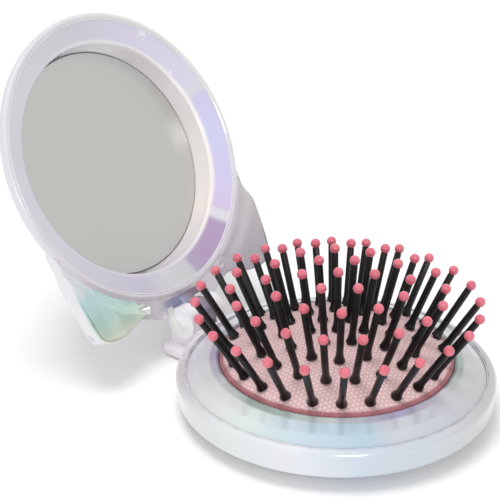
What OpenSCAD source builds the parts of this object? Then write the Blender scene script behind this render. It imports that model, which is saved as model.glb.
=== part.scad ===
// Folding pop-up hairbrush with a mirror in its lid, cat-ear outline.
// Origin: centre of the base, on the surface it stands on. +X lies along the hinge, +Y points to it.

/* [Base] */
// Diameter of the base at its widest line
base_d = 84; // [80:1:90]
// Height of the widest line above the floor
base_wide_z = 9.9; // [9:0.1:11]
// Height of the lower corner of the side wall
base_corner_z = 4.9; // [4:0.1:6]
// Distance from the side of the base in to the flat ring that it stands on
foot_inset = 12.5; // [11:0.5:14]
// Wall thickness of the lower casing
base_wall = 1.9; // [1.4:0.1:2.4]
// Radius of the thumb opening underneath
opening_r = 22; // [21.5:0.5:23]
// Radius of the rounded top lip of the casing
lip_round = 2; // [1.6:0.1:2.4]

/* [Bezel] */
// Width of the groove between the lip and the bezel
seam_gap = 0.2; // [0.1:0.05:0.4]
// Distance from the side of the base in to the opening that the cushion fills
bezel_w = 11.3; // [10.5:0.1:12]
// Height of the bezel's crown beside the cushion
bezel_top_z = 15.4; // [15:0.1:15.5]
// Thickness of the bezel moulding
bezel_t = 1.6; // [1.2:0.1:2]

/* [Cushion] */
// Height of the cushion's crown above the floor
cushion_top_z = 22.6; // [22:0.1:22.8]
// Radius of the dome that the cushion is cut from
cushion_dome_r = 68; // [64:1:70]
// Thickness of the rubber
cushion_t = 0.9; // [0.8:0.1:1.2]

/* [Bristle pins] */
// Length of a pin from the cushion to the centre of its ball
pin_len = 17; // [15:0.1:17.1]
// Radius of the shaft
pin_r = 0.95; // [0.7:0.05:1.1]
// Radius of the flared foot
pin_foot_r = 1.5; // [1.2:0.05:1.8]
// Length of the flare
pin_flare = 3.6; // [2:0.1:5]
// Radius of the ball on the tip
ball_r = 1.35; // [1.1:0.05:1.6]
// Distance from the outer ring of pins to the cushion's edge
pin_margin = 3.2; // [3:0.1:5]
// Depth below the floor of the point that all the pins fan out from
fan_depth = 25; // [22:1:32]
// Turn of the pin pattern about the vertical
pin_phase = 9.8; // [0:0.1:15]

/* [Push button] */
// Gap between the button under the cushion and the anchors of the first ring of pins
button_room = 0.65; // [0.5:0.05:1.2]
// Thickness of the button
button_t = 0.6; // [0.5:0.1:0.7]

/* [Lid] */
// How far the lid's rim lies inside the widest line of the base
lid_inset = 1; // [0.5:0.1:2]
// Gap between the closed lid and the lip of the base
lid_gap = 0.35; // [0.3:0.05:0.5]
// Depth of the lid from its rim to its back
lid_depth = 14.5; // [14.4:0.1:16]
// Wall thickness of the back shell
lid_wall = 1.1; // [1:0.05:1.2]
// Thickness of the rounded rim
rim_t = 1.9; // [1.6:0.1:2.4]
// How far the lid stands open, from closed
lid_open = 119.5; // [100:0.5:125]
// Slope of the lid's side as it rounds over to the back
lid_slope = 46; // [44:0.5:48]
// Rise of the lid's gently domed back over its full width
lid_rise = 5.7; // [4.4:0.1:6]

/* [Ears] */
// How far an ear's outer side lies inside the lid's rim
ear_inset = 4.5; // [3:0.1:5]
// How far the tip of an ear reaches past the lid's rim, towards the hinge
ear_reach = 3; // [2:0.1:4]
// Corner radius of an ear
ear_round = 3.2; // [3:0.1:4]
// How far an ear's edge stands proud of the rim, beside the base when shut
ear_proud = 2; // [1:0.1:2.5]
// Straight depth of an ear behind the rim before its back rounds over
ear_depth = 2; // [1.5:0.1:4]
// Rounding of an ear's back edge
ear_back_round = 2; // [1.4:0.1:2.1]
// Width of the raised edge round an ear's face
ear_edge = 1.3; // [1:0.1:1.6]
// How far an ear's face lies behind the rim
ear_recess = 0.3; // [0.2:0.1:1]

/* [Mirror] */
// Distance from the lid's rim in to the edge of the glass
mirror_margin = 9.3; // [9.2:0.1:11]
// Thickness of the glass
mirror_t = 0.9; // [0.8:0.05:1]
// Depth of the glass behind the rim of the lid
mirror_depth = 8.65; // [8.5:0.05:8.7]
// How much wider than the glass the opening in the dished ring is, each side
aperture_room = 1.2; // [0.7:0.1:1.8]
// Depth of that opening's edge behind the rim
aperture_depth = 3; // [2:0.1:3.5]
// Gap between the glass and its frame
glass_gap = 0.3; // [0.2:0.05:0.5]

/* [Hinge] */
// Distance from the side of the base out to the hinge axis
hinge_out = 6.5; // [6:0.1:8]
// Height of the hinge axis above the floor
hinge_z = 11; // [10.8:0.1:11.4]
// Radius of the hinge barrel
barrel_r = 4.7; // [4:0.1:4.8]
// Width of the middle knuckle, on the lid
knuckle_w = 5; // [4:0.1:6]
// Width of each outer knuckle, on the base
cheek_w = 3.3; // [2.8:0.1:4]
// Gap between two knuckles
knuckle_gap = 0.3; // [0.2:0.05:0.5]
// Radius of the steel pin
hinge_pin_r = 1; // [0.8:0.05:1.3]
// Radial clearance of the pin in its bores
pin_clear = 0.05; // [0.02:0.01:0.1]
// How far the domed cap on each end stands out
cap_t = 1.5; // [1:0.1:2]
// Half the height of the heel under the hinge
heel_r = 2; // [1.8:0.1:3]
// How far the heel reaches past the hinge axis
heel_out = 6.3; // [5:0.1:7]

/* [Hidden] */

$fn = 96;
cut = 0.01;

pearl = [0.86, 0.85, 0.88];
pearl_grey = [0.8, 0.8, 0.84];
rose = [0.86, 0.62, 0.64];
ink = [0.06, 0.05, 0.06];
coral = [0.9, 0.45, 0.52];
silver = [0.76, 0.77, 0.76];
steel = [0.6, 0.6, 0.62];

base_r = base_d / 2;
base_foot_r = base_r - foot_inset;
lip_z = base_wide_z + lip_round;
lip_in_r = base_r - lip_round - 0.5;
bezel_out_r = lip_in_r - seam_gap;
ledge_z = lip_z - 2.6;
ledge_w = 1.6;
corner_round = 1.5;
floor_t = 1.6;
collar_t = 1.5;
collar_h = 3;

bezel_open_r = base_r - bezel_w;
bezel_edge_z = lip_z - 0.3;
bezel_band_r = bezel_open_r + 2.75;
bezel_band_z = bezel_top_z - 0.9;
flange_z = bezel_top_z - 3.4;
flange_w = 3;
clamp_t = 1.2;
seat_gap = 0.1;

dome_z = cushion_top_z - cushion_dome_r;
cushion_r = bezel_open_r - seat_gap;
roll_r = 0.9;

ring_count = 4;
ring_step = (cushion_r - pin_margin) / ring_count;
anchor_t = 0.4;
anchor_r = 1.3;
neck_r = 0.8;
spigot_r = 0.55;
spigot_len = 1;
button_r = ring_step - anchor_r - button_room;
fit_gap = 0.05;

lid_r = base_r - lid_inset;
lid_dome_r = (pow(lid_r, 2) + pow(lid_rise, 2)) / (2 * lid_rise);
rim_z = lip_z + lid_gap;
rim_round = rim_t / 2;
rim_in_r = lid_r - rim_t;
lid_side_z = rim_z + rim_round;
lid_top_z = rim_z + lid_depth;
lid_side_r = 4;
lid_shoulder_r = 3;
snug = 0.03;
mirror_r = lid_r - mirror_margin;
mirror_z = rim_z + mirror_depth;
aperture_r = mirror_r + aperture_room;
tape_t = 0.2;
tape_w = 3.5;
seat_z = mirror_z + mirror_t + tape_t;
frame_t = 1.2;
well_t = 0.7;
frame_out_r = rim_in_r - snug;
frame_out_z = rim_z + 0.45;
frame_back_z = frame_out_z + frame_t + 0.05;

// Posts that a hull joins into an ear's outline: [x, y, radius], from the rim round the tip to the web
ear_x = lid_r - ear_inset;
ear_y = lid_r + ear_reach;
ear_inner = [ear_x - 19, ear_y - 3.8, 2.1];
ear_outline = [
    [(lid_r - 0.5) * cos(25.8), (lid_r - 0.5) * sin(25.8), 1.05],
    [ear_x - ear_round, ear_y - ear_round, ear_round],
    [ear_x - 7.5, ear_y - 2.4, 3.2],
    [ear_x - 14.6, ear_y - 3, 2.4],
    ear_inner];
ear_room = 0.6;

hinge_y = base_r + hinge_out;
hinge_half = knuckle_w / 2 + knuckle_gap + cheek_w;
bore_r = hinge_pin_r + pin_clear;
pin_half = hinge_half + 0.5;
cap_r = barrel_r - 0.1;
cap_edge = 0.7;
cap_dome_r = (pow(cap_r, 2) + pow(cap_t - cap_edge, 2)) / (2 * (cap_t - cap_edge));
slot_w = 0.5;
slot_d = 0.35;
heel_half = 6.6;
stop_turn = 41;
stop_w = 1.8;
stop_reach = hinge_z - 2 * heel_r - 0.1;

// The web from ear to ear runs behind the knuckles, and widens to a wing beside them
web_room = 0.5;
web_t = 3.4;
web_z = rim_z + 0.4;
web_y = hinge_y - barrel_r - web_room;
wing_r = 1.6;
wing_x = hinge_half + cap_t + 0.4 + wing_r;
wing_turn = atan2(ear_inner.x, ear_inner.y);
wing_outline = [
    [wing_x, hinge_y - 3 - wing_r, wing_r],
    [wing_x, lid_r - 2, wing_r],
    [(lid_r - 2) * sin(wing_turn), (lid_r - 2) * cos(wing_turn), wing_r],
    ear_inner];

// Points on an arc from angle a to angle b
function arc(x, y, r, a, b, steps) =
    [for (i = [0:steps]) let (t = a + (b - a) * i / steps) [x + r * cos(t), y + r * sin(t)]];

// Side, shoulder and domed back of the lid, from its widest line to its crown, inset by a wall
function lid_arcs(inset) =
    let (side_x = lid_r - lid_side_r,
         dome_c = lid_top_z - lid_dome_r,
         reach = side_x * cos(lid_slope) + lid_side_z * sin(lid_slope) + lid_side_r,
         turn = lid_slope + acos((reach - lid_shoulder_r - dome_c * sin(lid_slope)) / (lid_dome_r - lid_shoulder_r)),
         span = lid_dome_r - lid_shoulder_r)
    concat(arc(side_x, lid_side_z, lid_side_r - inset, 0, lid_slope, 8),
           arc(span * cos(turn), dome_c + span * sin(turn), lid_shoulder_r - inset, lid_slope, turn, 4),
           arc(0, dome_c, lid_dome_r - inset, turn + 1, 90, 10));

// Height of the cushion's outer surface at a distance from the middle
function dome_at(r) = dome_z + sqrt(pow(cushion_dome_r, 2) - pow(r, 2));

// Revolves a profile given as points of [radius, height]
module turned(points) {
    rotate_extrude() polygon(points);
}

// Extrudes a profile of [y, z] along X, centred, to a width
module across(width) {
    rotate([90, 0, 90]) linear_extrude(height = width, center = true) children();
}

// Swings what is modelled on the closed lid to where the open lid stands
module opened() {
    translate([0, hinge_y, hinge_z]) rotate([-lid_open, 0, 0]) translate([0, -hinge_y, -hinge_z])
        children();
}

// One rod along X at the hinge axis
module hinge_rod(r, width) {
    translate([0, hinge_y, hinge_z]) rotate([0, 90, 0]) cylinder(r = r, h = width, center = true);
}

// ---- Base ----

module base_bowl() {
    wall_x = base_r - 0.35;
    turned(concat(
        [[opening_r, 0], [base_foot_r, 0]],
        arc(wall_x - corner_round, base_corner_z + 0.6, corner_round, -65, 0, 6),
        arc(base_r - lip_round, base_wide_z, lip_round, 0, 90, 10),
        arc(lip_in_r + 0.3, lip_z - 0.3, 0.3, 90, 180, 4),
        [[lip_in_r, ledge_z],
         [lip_in_r - ledge_w, ledge_z], [lip_in_r - ledge_w, ledge_z - 0.8],
         [base_r - base_wall - 0.3, ledge_z - 2.4],
         [base_r - base_wall - 0.4, base_corner_z + 1.2],
         [base_r - base_wall - 1.4, base_corner_z + 0.6],
         [base_foot_r, floor_t + 0.2],
         [opening_r + collar_t, floor_t], [opening_r + collar_t, collar_h],
         [opening_r, collar_h]]));
}

module hinge_cheek() {
    across(cheek_w) {
        translate([hinge_y, hinge_z]) circle(r = barrel_r);
        polygon([[base_r - 1.6, heel_r], [base_r - 1.3, base_wide_z - 0.6],
                 [hinge_y - barrel_r + 0.3, base_wide_z - 0.2], [hinge_y, hinge_z],
                 [hinge_y + barrel_r - 0.5, hinge_z - 2], [hinge_y + barrel_r - 0.4, heel_r]]);
    }
}

module hinge_heel() {
    start_y = base_r - 2.4;
    end_y = hinge_y + heel_out - heel_r;
    translate([0, end_y, heel_r]) rotate([0, 90, 0]) cylinder(r = heel_r, h = 2 * heel_half, center = true);
    translate([-heel_half, start_y, 0]) cube([2 * heel_half, end_y - start_y, 2 * heel_r]);
    for (side = [-1, 1]) {
        translate([side * heel_half, end_y, heel_r]) sphere(r = heel_r);
        translate([side * heel_half, start_y, heel_r]) rotate([-90, 0, 0])
            cylinder(r = heel_r, h = end_y - start_y);
    }
}

module base_shell() {
    cheek_x = knuckle_w / 2 + knuckle_gap + cheek_w / 2;
    color(pearl) difference() {
        union() {
            base_bowl();
            for (side = [-1, 1]) translate([side * cheek_x, 0, 0]) hinge_cheek();
            hinge_heel();
        }
        hinge_rod(bore_r, 2 * hinge_half + 2);
    }
}

module base_bezel() {
    color(pearl_grey) turned(concat(
        [[bezel_out_r, ledge_z + seat_gap], [bezel_out_r, bezel_edge_z - 0.3],
         [bezel_out_r - 0.3, bezel_edge_z],
         [(bezel_out_r + bezel_band_r) / 2, (bezel_edge_z + bezel_band_z) / 2 + 0.35],
         [bezel_band_r, bezel_band_z]],
        arc(bezel_open_r + roll_r, bezel_top_z - roll_r, roll_r, 80, 180, 8),
        [[bezel_open_r, flange_z + seat_gap],
         [bezel_open_r + flange_w + 1.8, flange_z + seat_gap],
         [bezel_out_r - bezel_t, bezel_edge_z - bezel_t - 0.2],
         [bezel_out_r - bezel_t, ledge_z + seat_gap]]));
}

module clamp_ring() {
    top_z = flange_z - cushion_t - seat_gap;
    color(pearl_grey) turned([
        [bezel_open_r + 0.2, top_z - clamp_t], [bezel_open_r + 0.2, top_z],
        [bezel_open_r + flange_w + 0.8, top_z],
        [bezel_open_r + flange_w + 0.8, flange_z - seat_gap],
        [bezel_open_r + flange_w + 1.6, flange_z - seat_gap],
        [bezel_open_r + flange_w + 1.6, top_z - clamp_t]]);
}

// ---- Cushion and what it carries ----

module cushion_rubber() {
    edge_r = cushion_r - 0.8;
    edge_a = asin(edge_r / cushion_dome_r);
    inner_r = cushion_dome_r - cushion_t;
    turned(concat(
        arc(0, dome_z, cushion_dome_r, 90, 90 - edge_a, 16),
        [[cushion_r, dome_at(edge_r) - 0.9], [cushion_r, flange_z],
         [cushion_r + flange_w, flange_z], [cushion_r + flange_w, flange_z - cushion_t],
         [cushion_r - cushion_t, flange_z - cushion_t],
         [cushion_r - cushion_t, dome_at(edge_r) - 1.7]],
        arc(0, dome_z, inner_r, 90 - asin((edge_r - 0.9) / inner_r), 90, 16)));
}

module cushion() {
    color(rose) difference() {
        cushion_rubber();
        at_pins(0, ring_count) translate([0, 0, -3 * cushion_t])
            cylinder(r = neck_r + fit_gap, h = 5 * cushion_t, $fn = 24);
    }
}

// Puts a copy on the cushion at each pin of the rings from first to last, leaning with the fan
module at_pins(first, last) {
    for (ring = [first:last]) {
        foot = ring * ring_step;
        foot_z = dome_at(foot);
        lean = atan2(foot, foot_z + fan_depth);
        count = ring == 0 ? 1 : 6 * ring;
        for (i = [0:count - 1])
            rotate([0, 0, pin_phase + 360 * i / count]) translate([foot, 0, foot_z])
                rotate([0, lean, 0]) children();
    }
}

// One pin: anchor under the rubber, neck through it, flared foot, shaft, spigot for the ball
module bristle_pin() {
    under = -cushion_t - 0.2;
    shaft_end = pin_len - ball_r * 0.8;
    rotate_extrude($fn = 32) polygon(concat(
        [[0, under - anchor_t], [anchor_r - 0.3, under - anchor_t], [anchor_r, under],
         [neck_r, under], [neck_r, 0.35], [pin_foot_r - 0.15, 0.35]],
        [for (i = [0:6]) let (t = i / 6)
            [pin_r + (pin_foot_r - pin_r) * pow(1 - t, 2), 0.6 + (pin_flare - 0.6) * t]],
        [[pin_r, shaft_end], [spigot_r, shaft_end], [spigot_r, shaft_end + spigot_len],
         [0, shaft_end + spigot_len]]));
}

// The ball on a pin's end, bored for its spigot
module tip_ball() {
    shaft_end = pin_len - ball_r * 0.8;
    difference() {
        translate([0, 0, pin_len]) sphere(r = ball_r, $fn = 32);
        translate([0, 0, pin_len - 2 * ball_r])
            cylinder(r = 2 * ball_r, h = shaft_end + fit_gap - pin_len + 2 * ball_r, $fn = 32);
        translate([0, 0, shaft_end - cut]) cylinder(r = spigot_r + fit_gap, h = spigot_len + 0.1, $fn = 32);
    }
}

module pins(ring) {
    color(ink) at_pins(ring, ring) bristle_pin();
}

module balls(ring) {
    color(coral) at_pins(ring, ring) tip_ball();
}

// Dished button glued under the rubber, round the centre pin's anchor
module push_button() {
    inner_r = cushion_dome_r - cushion_t - fit_gap;
    top_z = dome_at(0) - cushion_t - 0.2 - anchor_t - fit_gap;
    rim_w = 1.1;
    color(pearl_grey) turned(concat(
        [[0, top_z - button_t + 0.15], [button_r - 1.6, top_z - button_t + 0.15],
         [button_r - 1.2, top_z - button_t], [button_r - 0.3, top_z - button_t],
         [button_r, top_z - button_t + 0.3]],
        arc(0, dome_z, inner_r, acos(button_r / inner_r), acos((button_r - rim_w) / inner_r), 3),
        [[button_r - rim_w, top_z], [0, top_z]]));
}

// ---- Lid, modelled closed ----

module lid_body() {
    turned(concat(
        [[0, lid_side_z], [rim_in_r, lid_side_z]],
        arc(lid_r - rim_round, lid_side_z, rim_round, 180, 350, 12),
        lid_arcs(0)));
}

// Hollow of the lid, with a ledge that the dished ring sits on
module lid_cavity() {
    inner = lid_arcs(lid_wall);
    turned(concat(
        [[0, rim_z - 1], [rim_in_r, rim_z - 1], [rim_in_r, frame_back_z], [rim_in_r - 0.9, frame_back_z]],
        [for (i = [9:len(inner) - 1]) inner[i]]));
}

// Ring inside the lid's back that the glass is taped to
module mirror_seat() {
    turned([[mirror_r - tape_w, seat_z], [mirror_r, seat_z], [mirror_r, seat_z + 0.8],
            [mirror_r - tape_w, seat_z + 1.5]]);
}

// Posts of an outline, shrunk by an inset, or with their back edge rounded over
module posts(outline, inset, z, h, rounded) {
    for (p = outline) {
        translate([p.x, p.y, z]) cylinder(r = max(p.z - inset, 0.3), h = h, $fn = 32);
        if (rounded) for (t = [30, 60, 90]) translate([p.x, p.y, z])
            cylinder(r = max(p.z - ear_back_round * (1 - cos(t)), 0.3),
                     h = h + ear_back_round * sin(t), $fn = 32);
    }
}

module ear_solid() {
    difference() {
        hull() posts(ear_outline, 0, rim_z - ear_proud, ear_proud + ear_depth, true);
        translate([0, 0, rim_z - ear_proud - cut]) cylinder(r = base_r + ear_room, h = ear_proud + 0.1 + cut);
    }
}

// The flat inside an ear's edge, outside the lid's round rim
module ear_panel(inset, z, h) {
    difference() {
        hull() posts(ear_outline, inset, z, h, false);
        translate([0, 0, z - cut]) cylinder(r = lid_r - 0.2 + inset, h = h + 2 * cut);
    }
}

// Half of the web that joins the ears behind the hinge
module hinge_web() {
    hull() posts(wing_outline, 0, web_z, ear_depth - 0.4, true);
    translate([0, lid_r - 2, web_z]) cube([wing_x, web_y - lid_r + 2, web_t]);
}

// Middle knuckle, its arm to the rim, and the nose that lands on the heel when the lid is open
module hinge_lug() {
    across(knuckle_w) {
        translate([hinge_y, hinge_z]) circle(r = barrel_r);
        polygon([[rim_in_r + 0.3, lid_side_z - 0.4], [lid_r + 1, rim_z + 0.4],
                 [hinge_y - barrel_r + 0.6, hinge_z], [hinge_y, hinge_z - 1],
                 [hinge_y + 1, hinge_z + barrel_r - 0.4], [hinge_y - 3.4, rim_z + 4.2],
                 [lid_r - 1.7, rim_z + 4.6]]);
        translate([hinge_y, hinge_z]) rotate(stop_turn) translate([0, -stop_w / 2])
            square([stop_reach, stop_w]);
    }
}

module lid_shell() {
    pocket_z = rim_z - ear_proud - 1;
    color(pearl) opened() {
        difference() {
            union() {
                lid_body();
                for (side = [0, 1]) mirror([side, 0, 0]) {
                    ear_solid();
                    hinge_web();
                }
                hinge_lug();
            }
            lid_cavity();
            for (side = [0, 1]) mirror([side, 0, 0])
                ear_panel(ear_edge, pocket_z, rim_z + ear_recess + frame_t + snug - pocket_z);
            hinge_rod(bore_r, knuckle_w + 2);
        }
        intersection() {
            mirror_seat();
            lid_body();
        }
    }
}

module lid_frame() {
    ap_z = rim_z + aperture_depth;
    well_r = mirror_r + glass_gap;
    color(pearl_grey) opened() {
        turned([
            [frame_out_r, frame_out_z], [aperture_r + 0.4, ap_z - 0.1], [aperture_r, ap_z + 0.3],
            [well_r, mirror_z], [well_r, mirror_z + 0.3], [well_r + well_t, mirror_z + 0.3],
            [aperture_r + well_t + 0.3, ap_z + 1.5], [frame_out_r - 1.1, frame_out_z + frame_t],
            [frame_out_r, frame_out_z + frame_t]]);
        for (side = [0, 1]) mirror([side, 0, 0])
            ear_panel(ear_edge + snug, rim_z + ear_recess, frame_t);
    }
}

module mirror_glass() {
    color(silver) opened() translate([0, 0, mirror_z]) cylinder(r = mirror_r, h = mirror_t);
}

module mirror_tape() {
    color(ink) opened() translate([0, 0, mirror_z + mirror_t]) difference() {
        cylinder(r = mirror_r - 0.4, h = tape_t);
        translate([0, 0, -cut]) cylinder(r = mirror_r - tape_w + 0.4, h = tape_t + 2 * cut);
    }
}

// ---- Hinge hardware ----

module hinge_pin() {
    color(steel) hinge_rod(hinge_pin_r, 2 * pin_half);
}

// Domed cap with a fine slot, on the end of the pin
module hinge_cap(side) {
    blind = pin_half - hinge_half + snug;
    edge_a = asin(1 - (cap_t - cap_edge) / cap_dome_r);
    color(pearl_grey) translate([side * (hinge_half + snug), hinge_y, hinge_z]) rotate([0, side * 90, 0])
        difference() {
            turned(concat([[bore_r, 0], [cap_r, 0]],
                arc(0, cap_t - cap_dome_r, cap_dome_r, edge_a, 90, 8),
                [[0, blind], [bore_r, blind]]));
            translate([0, 0, cap_t]) rotate([0, 0, side * 45])
                cube([slot_w, 3 * cap_r, 2 * slot_d], center = true);
        }
}

base_shell();
base_bezel();
clamp_ring();
cushion();
push_button();
pins(0);  // pin_centre
pins(1);  // pins_ring_1
pins(2);  // pins_ring_2
pins(3);  // pins_ring_3
pins(4);  // pins_ring_4
balls(0);  // ball_centre
balls(1);  // balls_ring_1
balls(2);  // balls_ring_2
balls(3);  // balls_ring_3
balls(4);  // balls_ring_4
lid_shell();
lid_frame();
mirror_glass();
mirror_tape();
hinge_pin();
hinge_cap(-1);  // hinge_cap_left
hinge_cap(1);  // hinge_cap_right
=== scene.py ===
import math
from collections import namedtuple

import bmesh
import bpy
from mathutils import Matrix, Vector


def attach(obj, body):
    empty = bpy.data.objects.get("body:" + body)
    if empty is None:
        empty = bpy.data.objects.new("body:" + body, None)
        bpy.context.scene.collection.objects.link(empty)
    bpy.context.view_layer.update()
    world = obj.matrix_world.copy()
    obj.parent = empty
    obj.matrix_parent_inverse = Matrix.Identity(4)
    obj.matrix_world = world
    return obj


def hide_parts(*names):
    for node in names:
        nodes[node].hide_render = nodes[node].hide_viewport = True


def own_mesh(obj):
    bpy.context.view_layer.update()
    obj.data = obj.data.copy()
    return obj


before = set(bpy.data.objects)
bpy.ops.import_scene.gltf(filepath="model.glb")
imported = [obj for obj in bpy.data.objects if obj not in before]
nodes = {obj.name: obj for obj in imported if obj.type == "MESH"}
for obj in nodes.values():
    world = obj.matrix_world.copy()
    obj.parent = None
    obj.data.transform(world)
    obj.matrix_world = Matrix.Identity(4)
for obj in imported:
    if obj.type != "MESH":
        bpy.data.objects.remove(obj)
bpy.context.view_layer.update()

MM = 0.001

# Everything below is in mm, in the frame of the part, which stands open. The ears, the rim bead and the
# materials of the lid are laid out on the shut lid, and opened() turns them to where the lid stands.

# Sizes that the part has too
DOME_R, DOME_TOP = 68.0, 22.6
CUSHION_R, FLANGE_Z, FLANGE_W, RUBBER_T = 30.6, 12.0, 3.0, 0.9
RING_STEP, PIN_LEN, FAN_DEPTH, PHASE = 6.85, 17.0, 25.0, 9.8
PIN_R, FOOT_R, FLARE, BALL_R = 0.95, 1.5, 3.6, 1.35
ANCHOR_R, NECK_R = 1.3, 0.8
HINGE = Vector((0, 48.5, 11.0))
OPEN_DEG = 119.5
RIM_Z = 12.25

# An ear's face lies at EAR_RIM_Z beside the lid, and comes down to EAR_FRONT between the two drop radii
EAR_HEART = Vector((32.0, 37.5))
EAR_FRONT, EAR_RIM_Z, EAR_BACK = 10.25, 12.3, 16.25
EAR_DROP_IN, EAR_DROP_OUT = 42.5, 45.5
EAR_EDGE_R, EAR_BACK_R = 0.8, 2.0
# Inside the rim of the lid the face is tucked up out of sight
TUCK_IN, TUCK_OUT, TUCK_H = 40.9, 41.5, 1.2
EAR_INNER_R = 39.9
# Outer edge of an ear, from the rim round the tip to the web
EAR_EDGE = [
    (37.6, 15.6), (37.2, 19.5), (37.3, 24.5), (37.2, 29.5), (36.7, 34.5), (36.0, 39.3), (35.0, 42.4),
    (33.0, 44.0), (29.8, 44.6), (26.4, 44.4), (23.4, 43.7), (20.8, 42.8), (18.2, 42.0), (15.2, 40.8)]

# The shell's own ears start outside this radius and this x, and are drawn in by this share
SHELL_EAR_R, SHELL_EAR_X, SHELL_EAR_SHRINK = 41.15, 16.5, 0.85
SHELL_EAR_LOW, SHELL_EAR_HIGH = 13.0, 15.4


def srgb(r, g, b):
    """Colour as read from a screen, 0 to 255, in Blender's linear values"""
    out = []
    for c in (r, g, b):
        c /= 255
        out.append(c / 12.92 if c <= 0.04045 else ((c + 0.055) / 1.055) ** 2.4)
    return (*out, 1.0)


def arc(x, z, r, a, b, steps):
    """Points of an arc round (x, z) from angle a to b, in degrees"""
    turns = [math.radians(a + (b - a) * i / steps) for i in range(steps + 1)]
    return [(x + r * math.cos(t), z + r * math.sin(t)) for t in turns]


def dome_at(r):
    """Height of the cushion's dome at a distance from its centre"""
    return DOME_TOP - DOME_R + math.sqrt(DOME_R ** 2 - r * r)


# ---------- mesh helpers ----------

def new_object(name, verts, faces, smooth_angle):
    """Mesh object from points in mm, smooth except at creases"""
    mesh = bpy.data.meshes.new(name)
    mesh.from_pydata([Vector(v) * MM for v in verts], [], faces)
    mesh.validate()
    bm = bmesh.new()
    bm.from_mesh(mesh)
    bmesh.ops.remove_doubles(bm, verts=bm.verts, dist=1e-7)
    bmesh.ops.recalc_face_normals(bm, faces=bm.faces)
    limit = math.radians(smooth_angle)
    for f in bm.faces:
        f.smooth = True
    for e in bm.edges:
        if len(e.link_faces) == 2 and e.calc_face_angle(0) > limit:
            e.smooth = False
    bm.to_mesh(mesh)
    bm.free()
    ob = bpy.data.objects.new(name, mesh)
    bpy.context.scene.collection.objects.link(ob)
    return ob


def lathe(name, profile, segments, smooth_angle):
    """Solid of revolution from a closed profile of (radius, height)"""
    verts, faces = [], []
    n = len(profile)
    for i in range(segments):
        t = 2 * math.pi * i / segments
        for r, z in profile:
            verts.append((r * math.cos(t), r * math.sin(t), z))
    for i in range(segments):
        j = (i + 1) % segments
        for k in range(n):
            m = (k + 1) % n
            faces.append((i * n + k, j * n + k, j * n + m, i * n + m))
    return new_object(name, verts, faces, smooth_angle)


def opened():
    """Turns what is made on the shut lid to where the lid stands open, in metres"""
    pivot = HINGE * MM
    turn = Matrix.Rotation(math.radians(-OPEN_DEG), 4, "X")
    return Matrix.Translation(pivot) @ turn @ Matrix.Translation(-pivot)


def put(ob, mat):
    ob.data.materials.clear()
    ob.data.materials.append(mat)


def dress(ob, mat, body):
    """Gives a new piece its material, and says which body it belongs to"""
    put(ob, mat)
    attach(ob, body)
    return ob


# ---------- node helpers ----------

class Shader:
    """Small wrapper over a material's node tree; a colour is a screen colour of three numbers"""

    def __init__(self, name, **values):
        self.mat = bpy.data.materials.new(name)
        self.mat.use_nodes = True
        self.tree = self.mat.node_tree
        self.bsdf = self.tree.nodes["Principled BSDF"]
        self.place = self.tree.nodes.new("ShaderNodeTexCoord").outputs["Object"]
        self.set(**values)

    def set(self, **values):
        """Sets inputs of the main shader that are the same all over"""
        for key, value in values.items():
            self.bsdf.inputs[key.replace("_", " ")].default_value = value

    def link(self, a, b):
        self.tree.links.new(a, b)

    def feed(self, socket, value):
        """Links another node's output, or sets a number or a colour"""
        if isinstance(value, bpy.types.NodeSocket):
            self.link(value, socket)
        elif isinstance(value, tuple):
            socket.default_value = srgb(*value)
        else:
            socket.default_value = value

    def tint(self, colour):
        self.feed(self.bsdf.inputs["Base Color"], colour)

    def node(self, kind, **inputs):
        n = self.tree.nodes.new(kind)
        for key, value in inputs.items():
            n.inputs[key.replace("_", " ")].default_value = value
        return n

    def math(self, op, a, b=0.0):
        n = self.node("ShaderNodeMath")
        n.operation = op
        self.feed(n.inputs[0], a)
        self.feed(n.inputs[1], b)
        return n.outputs[0]

    def rises(self, value, low, high):
        """0 below low, 1 above high, smooth between"""
        n = self.node("ShaderNodeMapRange", From_Min=low, From_Max=high)
        n.interpolation_type = "SMOOTHSTEP"
        self.link(value, n.inputs["Value"])
        return n.outputs[0]

    def falls(self, value, low, high):
        """1 below low, 0 above high, smooth between"""
        return self.math("SUBTRACT", 1.0, self.rises(value, low, high))

    def both(self, a, b):
        return self.math("MULTIPLY", a, b)

    def ramp(self, fac, stops):
        n = self.node("ShaderNodeValToRGB")
        elements = n.color_ramp.elements
        while len(elements) > 1:
            elements.remove(elements[-1])
        elements[0].position = stops[0][0]
        elements[0].color = srgb(*stops[0][1])
        for position, colour in stops[1:]:
            elements.new(position).color = srgb(*colour)
        self.link(fac, n.inputs[0])
        return n.outputs[0]

    def mix(self, fac, a, b):
        n = self.node("ShaderNodeMix")
        n.data_type = "RGBA"
        self.feed(n.inputs[0], fac)
        self.feed(n.inputs[6], a)
        self.feed(n.inputs[7], b)
        return n.outputs[2]

    def noise(self, scale, detail=2.0, vector=None):
        n = self.node("ShaderNodeTexNoise", Scale=scale, Detail=detail, Roughness=0.5)
        self.link(vector or self.place, n.inputs["Vector"])
        return n.outputs["Fac"]

    def stretched(self, vector, scale):
        """Vector scaled by a different amount along each axis"""
        n = self.node("ShaderNodeVectorMath")
        n.operation = "MULTIPLY"
        self.link(vector, n.inputs[0])
        n.inputs[1].default_value = scale
        return n.outputs[0]

    def bump(self, height, strength, distance=0.1 * MM):
        n = self.node("ShaderNodeBump", Strength=strength, Distance=distance)
        self.link(height, n.inputs["Height"])
        self.link(n.outputs[0], self.bsdf.inputs["Normal"])


Spot = namedtuple("Spot", "angle r x y z")


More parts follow.
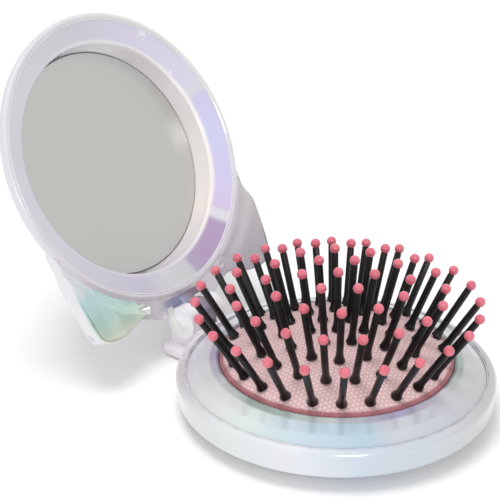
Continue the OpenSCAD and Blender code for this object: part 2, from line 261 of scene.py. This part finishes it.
def polar(s, vector):
    """Where a point lies, in mm, and its direction round the vertical as a fraction: 0 to the left, 0.25
    away from the hinge, 0.5 to the right, 0.75 to the hinge"""
    split = s.node("ShaderNodeSeparateXYZ")
    s.link(s.stretched(vector, (1 / MM, 1 / MM, 1 / MM)), split.inputs[0])
    x, y, z = split.outputs
    turns = s.math("MULTIPLY", s.math("ARCTAN2", y, x), 1 / (2 * math.pi))
    r = s.math("SQRT", s.math("ADD", s.math("MULTIPLY", x, x), s.math("MULTIPLY", y, y)))
    return Spot(s.math("ADD", turns, 0.5), r, x, y, z)


def closed_coords(s):
    """Object coordinates of what is on the open lid, turned back to the shut one"""
    turn = s.node("ShaderNodeVectorRotate", Center=HINGE * MM, Angle=math.radians(OPEN_DEG))
    turn.rotation_type = "X_AXIS"
    s.link(s.place, turn.inputs["Vector"])
    return turn.outputs[0]


def wavy(s, value, vector, amount):
    """Value shifted by a soft noise, so that tints don't follow exact rings"""
    n = s.noise(45.0, vector=vector)
    return s.math("ADD", value, s.math("MULTIPLY", s.math("SUBTRACT", n, 0.5), amount))


# ---------- materials ----------

def pearl(name, metal=0.12):
    """Glossy pearlescent plastic; the caller gives it its tint"""
    return Shader(name, Metallic=metal, Roughness=0.2, IOR=1.5,
                  Coat_Weight=0.8, Coat_Roughness=0.03, Coat_IOR=1.6)


def speckled(name, scale, dark, light, **values):
    """Plain material whose colour drifts a little between two tints"""
    s = Shader(name, **values)
    s.tint(s.ramp(s.noise(scale), [(0.3, dark), (0.7, light)]))
    return s


def lid_material():
    """Cream rim and back that drift to lilac; the web by the hinge has painted shade, blue-grey, plum on
    its right
    """
    s = pearl("pearl_lid")
    here = closed_coords(s)
    at = polar(s, here)
    drift = s.ramp(wavy(s, at.angle, here, 0.2), [
        (0.0, (226, 222, 230)), (0.2, (220, 217, 224)), (0.35, (226, 222, 220)), (0.5, (232, 230, 232)),
        (0.62, (222, 216, 228)), (0.78, (210, 206, 212)), (1.0, (226, 222, 230))])
    # Painted shade on the web by the hinge: blue-grey, and plum on its right
    web_shade_mask = s.both(s.rises(at.y, 40.6, 41.6), s.falls(s.math("ABSOLUTE", at.x), 7.0, 9.5))
    web = s.mix(s.rises(at.x, -3.0, 3.0), (154, 154, 186), (126, 104, 120))
    s.tint(s.mix(web_shade_mask, drift, web))
    s.bump(s.noise(260.0, 1.0), 0.05)
    return s.mat


def ring_material():
    """Dished ring with painted reflections in its band: lavender left, blue-violet right, purple from
    there to the hinge, with light gaps; cream well
    """
    s = pearl("pearl_ring")
    here = closed_coords(s)
    at = polar(s, here)
    blue, violet = (210, 212, 246), (214, 206, 240)
    light, purple = (222, 222, 230), (180, 156, 194)
    # The band's lavender, blue, violet and purple, and its light gaps, are painted reflections
    band = s.ramp(wavy(s, at.angle, here, 0.012), [
        (0.0, (218, 214, 225)), (0.12, (220, 216, 225)), (0.25, (210, 207, 217)), (0.33, (222, 216, 236)),
        (0.445, (222, 218, 238)), (0.452, light), (0.46, light), (0.466, violet), (0.52, blue),
        (0.58, violet), (0.618, (214, 200, 232)), (0.622, light), (0.634, light), (0.638, purple),
        (0.69, (176, 150, 188)), (0.715, (176, 162, 190)), (0.72, (200, 202, 205)),
        (0.76, (208, 208, 212)), (0.8, (196, 190, 208)), (0.85, (200, 196, 212)),
        (0.92, (212, 208, 218)), (1.0, (218, 214, 225))])
    # Painted glints: small white spots on the band's upper right
    glint_spots = s.rises(s.noise(170.0, 3.0, vector=here), 0.56, 0.6)
    upper_right = s.both(s.rises(at.angle, 0.34, 0.36), s.falls(at.angle, 0.44, 0.45))
    painted_glints = s.both(glint_spots, upper_right)
    band = s.mix(s.math("MULTIPLY", painted_glints, 0.8), band, (242, 242, 246))
    # The well is painted near white on its right: painted light that lifts the shade of its wall
    well = s.ramp(wavy(s, at.angle, here, 0.1), [
        (0.0, (214, 206, 224)), (0.2, (224, 220, 230)), (0.4, (248, 246, 246)), (0.5, (252, 248, 246)),
        (0.62, (250, 240, 236)), (0.7, (226, 220, 224)), (0.8, (212, 206, 218)), (1.0, (214, 206, 224))])
    s.tint(s.mix(s.rises(wavy(s, at.r, here, 1.2), 33.4, 34.4), well, band))
    s.bump(s.noise(220.0, 1.0), 0.06)
    return s.mat


def ear_material():
    """Left face from teal to mint with faint streaks, right face greyish lilac with painted shade that
    darkens towards its tip, pale side walls
    """
    s = pearl("pearl_ears")
    here = closed_coords(s)
    at = polar(s, here)
    left = s.ramp(s.rises(wavy(s, at.y, here, 9.0), 18.0, 45.0), [
        (0.0, (222, 222, 228)), (0.3, (210, 218, 222)), (0.45, (180, 212, 214)),
        (0.8, (180, 214, 204)), (0.95, (200, 218, 200)), (1.0, (228, 230, 216))])
    streaks = s.rises(s.noise(1.0, 3.0, vector=s.stretched(here, (700.0, 120.0, 90.0))), 0.6, 0.7)
    left = s.mix(s.math("MULTIPLY", streaks, 0.3), left, (232, 236, 240))
    # Painted shade on the right face, darker towards its tip
    right = s.ramp(s.rises(at.y, 18.0, 44.0), [(0.0, (196, 192, 195)), (1.0, (176, 168, 177))])
    face = s.mix(s.rises(at.x, -1.0, 1.0), left, right)
    # The face itself is level once its drop is added back, and what lies behind it is the side wall
    drop = s.math("MULTIPLY", s.rises(at.r, EAR_DROP_IN, EAR_DROP_OUT), EAR_RIM_Z - EAR_FRONT)
    on_wall = s.rises(s.math("ADD", at.z, drop), EAR_RIM_Z + 0.35, EAR_RIM_Z + 0.75)
    s.tint(s.mix(on_wall, face, (232, 230, 234)))
    s.bump(s.noise(260.0, 1.0), 0.05)
    return s.mat


def shell_material():
    """Casing: white to pale blue left, grey right, near white at the hinge as painted light on the heel;
    painted reflections of the pins as short marks in the groove
    """
    s = pearl("pearl_shell")
    at = polar(s, s.place)
    # Near white at the hinge is painted light that lifts the shade on the heel
    side = s.ramp(wavy(s, at.angle, s.place, 0.08), [
        (0.0, (224, 229, 230)), (0.06, (230, 232, 238)), (0.13, (204, 216, 230)), (0.2, (206, 210, 216)),
        (0.28, (196, 197, 198)), (0.38, (194, 192, 193)), (0.6, (214, 210, 216)), (0.75, (252, 247, 252)),
        (0.87, (202, 194, 200)), (1.0, (224, 229, 230))])
    # Painted reflections of the pins, in short marks round the groove
    pin_reflection_marks = s.math("FRACT", s.math("MULTIPLY", wavy(s, at.angle, s.place, 0.05), 34.0))
    groove = s.ramp(pin_reflection_marks, [
        (0.0, (150, 140, 170)), (0.3, (158, 170, 174)), (0.5, (204, 204, 208)), (0.8, (166, 156, 176)),
        (1.0, (150, 140, 170))])
    in_groove = s.both(s.rises(at.z, 9.0, 9.4), s.falls(at.r, 39.6, 39.9))
    s.tint(s.mix(in_groove, side, groove))
    s.bump(s.noise(260.0, 1.0), 0.05)
    return s.mat


def bezel_material():
    """Bezel: pastel greenish white, cyan and lilac; the roll beside the cushion is darker, with painted
    reflections of the pins
    """
    s = pearl("pearl_bezel", 0.1)
    s.set(Coat_Weight=0.5, Coat_Roughness=0.08)
    at = polar(s, s.place)
    broad = s.ramp(wavy(s, at.angle, s.place, 0.05), [
        (0.0, (222, 232, 230)), (0.04, (206, 222, 228)), (0.09, (192, 212, 226)), (0.14, (186, 210, 224)),
        (0.17, (208, 212, 220)), (0.24, (202, 204, 212)), (0.34, (204, 202, 200)), (0.5, (214, 208, 224)),
        (0.7, (206, 198, 214)), (0.86, (214, 210, 220)), (0.94, (224, 222, 220)), (1.0, (222, 232, 230))])
    # The roll's darker bands are painted reflections of the pins
    pin_reflection_bands = s.math("FRACT", s.math("MULTIPLY", wavy(s, at.angle, s.place, 0.03), 3.0))
    roll = s.ramp(pin_reflection_bands, [
        (0.0, (154, 172, 164)), (0.3, (188, 194, 196)), (0.55, (170, 160, 192)), (0.8, (200, 200, 204)),
        (1.0, (154, 172, 164))])
    s.tint(s.mix(s.rises(at.r, 32.8, 33.6), roll, broad))
    s.bump(s.noise(220.0, 1.0), 0.06)
    return s.mat


def rubber_material():
    """Rubber moulded with a woven pattern of small lozenges, painted darker in its hollows and lighter on
    its tops, and a darker edge
    """
    s = Shader("rose_rubber", Roughness=0.6, IOR=1.45, Sheen_Weight=0.15)
    at = polar(s, s.place)
    lozenge_l, lozenge_w = 1.3, 1.1
    cos_slant, sin_slant = 0.92, 0.4
    u = s.math("ADD", s.math("MULTIPLY", at.x, cos_slant), s.math("MULTIPLY", at.y, sin_slant))
    w = s.math("SUBTRACT", s.math("MULTIPLY", at.y, cos_slant), s.math("MULTIPLY", at.x, sin_slant))
    rows = s.math("FLOOR", s.math("MULTIPLY", w, 1 / lozenge_w))
    shift = s.math("MULTIPLY", s.math("MODULO", rows, 2.0), math.pi)
    along = s.math("SINE", s.math("ADD", s.math("MULTIPLY", u, 2 * math.pi / lozenge_l), shift))
    across = s.math("ABSOLUTE", s.math("SINE", s.math("MULTIPLY", w, math.pi / lozenge_w)))
    weave = s.both(s.math("ADD", s.math("MULTIPLY", along, 0.5), 0.5), across)
    base = s.ramp(s.noise(60.0), [(0.3, (242, 206, 207)), (0.7, (247, 213, 213))])
    # Painted shade in the weave's hollows and painted light on its lozenges
    low = s.mix(0.5, base, (200, 150, 154))
    weave_shade_and_light = s.mix(s.math("MULTIPLY", weave, 0.8), low, (255, 232, 230))
    s.tint(s.mix(s.rises(at.r, 29.2, 30.0), weave_shade_and_light, (176, 112, 118)))
    s.bump(weave, 0.5, 0.4 * MM)
    return s.mat


def inner_material():
    """Satin plastic of the parts underneath"""
    s = Shader("inner_plastic", Roughness=0.4, IOR=1.48)
    s.tint(s.ramp(s.noise(30.0), [(0.35, (206, 204, 208)), (0.65, (214, 212, 216))]))
    s.bump(s.noise(900.0), 0.1)
    return s.mat


def pin_material():
    """Near-black nylon with a slight grain"""
    s = speckled("black_pin", 160.0, (10, 8, 9), (22, 16, 18), Roughness=0.22, IOR=1.5,
                 Specular_IOR_Level=0.35)
    s.bump(s.noise(900.0), 0.15)
    return s.mat


def cap_material():
    """Off-white hinge caps with a soft pearly drift"""
    s = pearl("pearl_cap")
    s.tint(s.ramp(s.noise(160.0, 1.0), [
        (0.3, (240, 242, 248)), (0.5, (250, 249, 251)), (0.7, (250, 250, 244))]))
    return s.mat


def bead_material():
    """Off-white plastic, glossier than metallic, of the fine lines in the seams; lighter than the ring,
    so that on the lid's rim it is a painted highlight line
    """
    s = pearl("pearl_bead", 0.05)
    s.tint(s.ramp(s.noise(40.0), [(0.3, (236, 234, 240)), (0.7, (244, 244, 244))]))
    return s.mat


lid_mat = lid_material()
ear_mat = ear_material()
rubber_mat = rubber_material()
pin_mat = pin_material()
bead_mat = bead_material()
inner_mat = inner_material()
cap_mat = cap_material()
ball_mat = speckled("coral_ball", 300.0, (218, 94, 114), (232, 116, 134), Roughness=0.16, IOR=1.5,
                    Coat_Weight=0.8, Coat_Roughness=0.04, Coat_IOR=1.6).mat

finishes = {
    "base_shell": shell_material(),
    "base_bezel": bezel_material(),
    "clamp_ring": inner_mat,
    "push_button": inner_mat,
    "cushion": rubber_mat,
    "lid_shell": lid_mat,
    "lid_frame": ring_material(),
    "mirror_glass": speckled("mirror_face", 8.0, (210, 210, 207), (212, 212, 209),
                             Metallic=1.0, Roughness=0.3).mat,
    "mirror_tape": speckled("tape", 400.0, (30, 29, 28), (44, 42, 41), Roughness=0.8).mat,
    "hinge_pin": speckled("hinge_steel", 900.0, (180, 180, 182), (205, 205, 208),
                          Metallic=1.0, Roughness=0.28).mat,
    "hinge_cap_left": cap_mat,
    "hinge_cap_right": cap_mat,
}
for name, mat in finishes.items():
    put(nodes[name], mat)
for name, ob in nodes.items():
    if name.startswith("pin"):
        put(ob, pin_mat)
    if name.startswith("ball"):
        put(ob, ball_mat)


# ---------- ears, and the fine beads in the seams ----------

def spline(points, steps):
    """Smooth curve through points in the plane"""
    pts = [Vector(p) for p in points]
    pts = [2 * pts[0] - pts[1]] + pts + [2 * pts[-1] - pts[-2]]
    out = []
    for a, b, c, d in zip(pts, pts[1:], pts[2:], pts[3:]):
        for i in range(steps):
            t = i / steps
            out.append(0.5 * (2 * b + (c - a) * t + (2 * a - 5 * b + 4 * c - d) * t ** 2
                              + (3 * b - a - 3 * c + d) * t ** 3))
    return out + [pts[-2]]


def blend_step(x, low, high):
    """0 below low, 1 above high, smooth between"""
    t = min(1.0, max(0.0, (x - low) / (high - low)))
    return t * t * (3 - 2 * t)


def ear_front(p):
    """Height of an ear's face: proud beside the shut base, and tucked under the rim of the lid"""
    r = p.length
    z = EAR_RIM_Z - (EAR_RIM_Z - EAR_FRONT) * blend_step(r, EAR_DROP_IN, EAR_DROP_OUT)
    return z + TUCK_H * (1 - blend_step(r, TUCK_IN, TUCK_OUT))


def ear_outline():
    """Closed edge of an ear: its outer curve, and an arc back inside the rim"""
    outer = spline(EAR_EDGE, 8)
    first, last = (math.atan2(p.y, p.x) for p in (outer[0], outer[-1]))
    inner = []
    for i in range(25):
        t = last + (first - last) * i / 24
        inner.append(Vector((EAR_INNER_R * math.cos(t), EAR_INNER_R * math.sin(t))))
    return outer + inner


def drawn_in(edge, inset):
    return [p - (p - EAR_HEART).normalized() * inset for p in edge]


def ear(name, side):
    """One smooth ear as loops round its heart: face, rounded edge, side wall, rounded back"""
    edge = ear_outline()
    n = len(edge)
    loops = []
    for i in range(1, 14):
        pts = [EAR_HEART + (p - EAR_HEART) * i / 14 for p in edge]
        loops.append([(p, ear_front(p)) for p in pts])
    for a in range(0, 91, 15):
        inset = EAR_EDGE_R * (1 - math.sin(math.radians(a)))
        rise = EAR_EDGE_R * (1 - math.cos(math.radians(a)))
        loops.append([(p, ear_front(p) + rise) for p in drawn_in(edge, inset)])
    for a in range(0, 91, 15):
        inset = EAR_BACK_R * (1 - math.cos(math.radians(a)))
        lift = EAR_BACK_R * math.sin(math.radians(a))
        loops.append([(p, EAR_BACK - EAR_BACK_R + lift) for p in drawn_in(edge, inset)])
    verts = [(*EAR_HEART, ear_front(EAR_HEART))]
    for loop in loops:
        verts += [(*p, z) for p, z in loop]
    verts.append((*EAR_HEART, EAR_BACK))
    faces = [(0, 1 + i, 1 + (i + 1) % n) for i in range(n)]
    for k in range(len(loops) - 1):
        near, far = 1 + k * n, 1 + (k + 1) * n
        for i in range(n):
            j = (i + 1) % n
            faces.append((near + i, near + j, far + j, far + i))
    top = 1 + (len(loops) - 1) * n
    faces += [(top + (i + 1) % n, top + i, len(verts) - 1) for i in range(n)]
    turn = opened()
    verts = [(turn @ (Vector((side * x, y, z)) * MM)) / MM for x, y, z in verts]
    dress(new_object(name, verts, faces, 60), ear_mat, "lid")


def shell_without_ears():
    """The lid's shell, with its plain ears drawn in so that the smooth ones hold them"""
    mesh = nodes["lid_shell"].data.copy()
    turn = opened()
    back = turn.inverted()
    for vert in mesh.vertices:
        p = (back @ vert.co) / MM
        flat = Vector((abs(p.x), p.y))
        if flat.length > SHELL_EAR_R and flat.x > SHELL_EAR_X:
            flat = EAR_HEART + (flat - EAR_HEART) * SHELL_EAR_SHRINK
            z = min(SHELL_EAR_HIGH, max(SHELL_EAR_LOW, p.z))
            vert.co = turn @ (Vector((math.copysign(flat.x, p.x), flat.y, z)) * MM)
    ob = bpy.data.objects.new("lid_back", mesh)
    bpy.context.scene.collection.objects.link(ob)
    dress(ob, lid_mat, "lid")
    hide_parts("lid_shell")


def bead(name, r, z, thick, body, on_lid):
    """Fine rounded line that closes a seam between two mouldings"""
    ob = lathe(name, arc(r, z, thick, 0, 315, 7), 256, 80)
    if on_lid:
        ob.data.transform(opened())
    dress(ob, bead_mat, body)


shell_without_ears()
ear("ear_left", -1)
ear("ear_right", 1)
# The rim bead closes the seam and is also a painted highlight line along it
bead("rim_bead", 39.1, RIM_Z + 0.42, 0.16, "lid", on_lid=True)
bead("lip_bead", 39.4, 11.5, 0.11, "base", on_lid=False)


# ---------- cushion ----------

def cushion_dome():
    """Rubber dome, with a rounded edge that drops to the clamp"""
    round_r = 0.8
    edge = CUSHION_R - round_r
    top = [(r, dome_at(r)) for r in [0.01] + [edge * i / 40 for i in range(1, 41)]]
    fillet = arc(edge, dome_at(edge) - round_r, round_r, 70, 0, 5)
    foot = [(CUSHION_R, FLANGE_Z + 0.1), (CUSHION_R - RUBBER_T, FLANGE_Z + 0.1)]
    under = [(r, z - RUBBER_T) for r, z in reversed(top[:-1])]
    ob = lathe("cushion_dome", top + fillet + foot + under, 192, 50)
    dress(ob, rubber_mat, "base")
    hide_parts("cushion")
    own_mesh(ob)


def cushion_hem():
    """The flange that the clamp holds, and the fold that stays when the pad is pushed in"""
    flange = [(CUSHION_R - RUBBER_T, FLANGE_Z + 0.05), (CUSHION_R + FLANGE_W, FLANGE_Z),
              (CUSHION_R + FLANGE_W, FLANGE_Z - RUBBER_T), (CUSHION_R - 0.1, FLANGE_Z - RUBBER_T)]
    fold = [(CUSHION_R - 0.6, 3.0), (CUSHION_R - 1.0, 3.0)]
    dress(lathe("cushion_hem", flange + fold, 192, 50), rubber_mat, "base")


cushion_dome()
cushion_hem()

# ---------- pins and balls ----------

FLUTES, FLUTE_DEPTH, PIN_SIDES = 8, 0.09, 48
BALL_LAT, BALL_LON = 16, 32


def pin_mesh(place):
    """A pin with an anchor under the rubber, a trumpet foot, and fine flutes along its shaft"""
    end = PIN_LEN - BALL_R * 0.8
    foot_z = 0.6
    rings = [(ANCHOR_R, -1.5), (ANCHOR_R, -1.1), (NECK_R, -1.1), (NECK_R, 0.3)]
    rings += [(FOOT_R - 0.15, 0.35), (FOOT_R, 0.5)]
    for i in range(9):
        t = i / 8
        rings.append((PIN_R + (FOOT_R - PIN_R) * (1 - t) ** 2, foot_z + (FLARE - foot_z) * t))
    rings += [(PIN_R, FLARE + 1), (PIN_R, end - 0.4), (PIN_R * 0.92, end)]
    last = len(rings) - 1
    verts, faces = [], []
    for k, (r, z) in enumerate(rings):
        depth = FLUTE_DEPTH * min(1.0, max(0.0, (z - foot_z) / FLARE)) if k < last else 0.0
        for i in range(PIN_SIDES):
            t = 2 * math.pi * i / PIN_SIDES
            q = r - depth * (0.5 + 0.5 * math.cos(FLUTES * t)) ** 3
            verts.append(place @ Vector((q * math.cos(t), q * math.sin(t), z)))
    for k in range(last):
        low, high = k * PIN_SIDES, (k + 1) * PIN_SIDES
        for i in range(PIN_SIDES):
            j = (i + 1) % PIN_SIDES
            faces.append((low + i, low + j, high + j, high + i))
    faces.append(list(reversed(range(PIN_SIDES))))
    faces.append([last * PIN_SIDES + i for i in range(PIN_SIDES)])
    return verts, faces


def ball_mesh(place):
    """The ball on a pin's end"""
    verts, faces = [], []
    for k in range(BALL_LAT + 1):
        a = math.pi * k / BALL_LAT
        r = BALL_R * max(math.sin(a), 1e-4)
        z = PIN_LEN - BALL_R * math.cos(a)
        for i in range(BALL_LON):
            t = 2 * math.pi * i / BALL_LON
            verts.append(place @ Vector((r * math.cos(t), r * math.sin(t), z)))
    for k in range(BALL_LAT):
        low, high = k * BALL_LON, (k + 1) * BALL_LON
        for i in range(BALL_LON):
            j = (i + 1) % BALL_LON
            faces.append((low + i, low + j, high + j, high + i))
    return verts, faces


def seats(ring):
    """Where the pins of a ring stand on the cushion: matrix in mm, and outward direction"""
    foot = ring * RING_STEP
    lean = math.atan2(foot, dome_at(foot) + FAN_DEPTH)
    count = 6 * ring if ring else 1
    for i in range(count):
        turn = math.radians(PHASE) + 2 * math.pi * i / count
        place = (Matrix.Rotation(turn, 4, "Z") @ Matrix.Translation((foot, 0, dome_at(foot)))
                 @ Matrix.Rotation(lean, 4, "Y"))
        yield place, Vector((math.cos(turn), math.sin(turn), 0))


def joined(parts):
    """Several meshes as one list of points and one of faces"""
    verts, faces = [], []
    for v, f in parts:
        faces += [[i + len(verts) for i in face] for face in f]
        verts += v
    return verts, faces


def pin_piece(name, mesh, body):
    return dress(new_object(name, *mesh, 50), pin_mat, body)


def ball_piece(name, mesh, body):
    return dress(new_object(name, *mesh, 60), ball_mat, body)


def rigid_ring(ring, body):
    """A ring whose pins keep their lean as the pad folds in: one piece of pins, one of balls"""
    places = [place for place, _ in seats(ring)]
    tag = f"ring_{ring}" if ring else "centre"
    pins = pin_piece(f"ribbed_pins_{tag}", joined(pin_mesh(p) for p in places), body)
    balls = ball_piece(f"tips_{tag}", joined(ball_mesh(p) for p in places), body)
    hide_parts(f"pins_{tag}" if ring else "pin_centre")
    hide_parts(f"balls_{tag}" if ring else "ball_centre")


def outer_ring():
    """The outer ring: each pin comes upright as the pad folds in, so each is a piece of its own"""
    for i, (place, out) in enumerate(seats(4), 1):
        pin = pin_piece(f"ribbed_pin_4_{i:02d}", pin_mesh(place), "ring_4")
        ball = ball_piece(f"tip_4_{i:02d}", ball_mesh(place), "ring_4")
        for piece in (pin, ball):
            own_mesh(piece)
        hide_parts("pins_ring_4")
        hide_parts("balls_ring_4")


rigid_ring(0, "pad")
rigid_ring(1, "pad")
rigid_ring(2, "ring_2")
rigid_ring(3, "ring_3")
outer_ring()

# ---------- stage, light and camera, in metres ----------

FLOOR_WHITE, FLOOR_GLOW = 0.95, 0.08
WORLD_LIGHT, WORLD_SEEN = 0.62, 0.8
LAMP_AIM = Vector((0, 0.02, 0.02))
CAMERA_AT = Vector((-0.31936, -0.23642, 0.23603))
CAMERA_AIM = Vector((0.0328, 0.05666, 0.0165))


def seen_by(tree, *rays):
    """1 for the kinds of ray that are named, 0 for the others"""
    paths = tree.nodes.new("ShaderNodeLightPath")
    seen = paths.outputs[rays[0]]
    for ray in rays[1:]:
        either = tree.nodes.new("ShaderNodeMath")
        either.operation = "MAXIMUM"
        tree.links.new(seen, either.inputs[0])
        tree.links.new(paths.outputs[ray], either.inputs[1])
        seen = either.outputs[0]
    return seen


def facing(ob, place, aim):
    """Puts a lamp or camera in its place and points it"""
    ob.location = place
    ob.rotation_mode = "QUATERNION"
    ob.rotation_quaternion = (Vector(place) - aim).to_track_quat("Z", "Y")


def make_floor():
    """Matt white floor; a faint glow, for the camera and reflections only, lifts it to the background"""
    bpy.ops.mesh.primitive_plane_add(size=6, location=(0, 0, 0))
    floor = bpy.context.object
    floor.name = "floor"
    mat = bpy.data.materials.new("floor")
    mat.use_nodes = True
    tree = mat.node_tree
    matt = tree.nodes["Principled BSDF"]
    matt.inputs["Base Color"].default_value = (FLOOR_WHITE, FLOOR_WHITE, FLOOR_WHITE, 1)
    matt.inputs["Roughness"].default_value = 1.0
    matt.inputs["Specular IOR Level"].default_value = 0.0
    lift = tree.nodes.new("ShaderNodeEmission")
    lift.inputs["Color"].default_value = (1, 1, 1, 1)
    glow = tree.nodes.new("ShaderNodeMath")
    glow.operation = "MULTIPLY"
    tree.links.new(seen_by(tree, "Is Camera Ray", "Is Glossy Ray"), glow.inputs[0])
    glow.inputs[1].default_value = FLOOR_GLOW
    tree.links.new(glow.outputs[0], lift.inputs["Strength"])
    both = tree.nodes.new("ShaderNodeAddShader")
    tree.links.new(matt.outputs[0], both.inputs[0])
    tree.links.new(lift.outputs[0], both.inputs[1])
    tree.links.new(both.outputs[0], tree.nodes["Material Output"].inputs["Surface"])
    floor.data.materials.append(mat)


def make_world():
    """Soft neutral surroundings: pale where they are seen or reflected, dimmer as a light"""
    world = bpy.data.worlds.new("studio")
    bpy.context.scene.world = world
    world.use_nodes = True
    tree = world.node_tree
    for n in list(tree.nodes):
        tree.nodes.remove(n)
    pick = tree.nodes.new("ShaderNodeMixShader")
    tree.links.new(seen_by(tree, "Is Camera Ray", "Is Glossy Ray", "Is Transmission Ray"), pick.inputs[0])
    for i, strength in ((1, WORLD_LIGHT), (2, WORLD_SEEN)):
        glow = tree.nodes.new("ShaderNodeBackground")
        glow.inputs["Color"].default_value = (1, 1, 1, 1)
        glow.inputs["Strength"].default_value = strength
        tree.links.new(glow.outputs[0], pick.inputs[i])
    out = tree.nodes.new("ShaderNodeOutputWorld")
    tree.links.new(pick.outputs[0], out.inputs["Surface"])


def lamp(name, place, size, watts):
    data = bpy.data.lights.new(name, "AREA")
    data.shape = "DISK"
    data.size = size
    data.energy = watts
    ob = bpy.data.objects.new(name, data)
    bpy.context.scene.collection.objects.link(ob)
    facing(ob, place, LAMP_AIM)
    return ob


make_floor()
make_world()
key = lamp("key", (-0.12, 0.1, 1.0), 0.6, 4.8)
key.visible_glossy = False
lamp("fill", (-0.6, -0.7, 0.5), 0.3, 1.6)

cam_data = bpy.data.cameras.new("camera")
cam_data.lens = 124.84
cam_data.sensor_width = 36
cam_data.clip_start = 0.01
cam_data.clip_end = 20
cam = bpy.data.objects.new("camera", cam_data)
bpy.context.scene.collection.objects.link(cam)
facing(cam, CAMERA_AT, CAMERA_AIM)
bpy.context.scene.camera = cam
bpy.context.scene.view_settings.view_transform = "Standard"
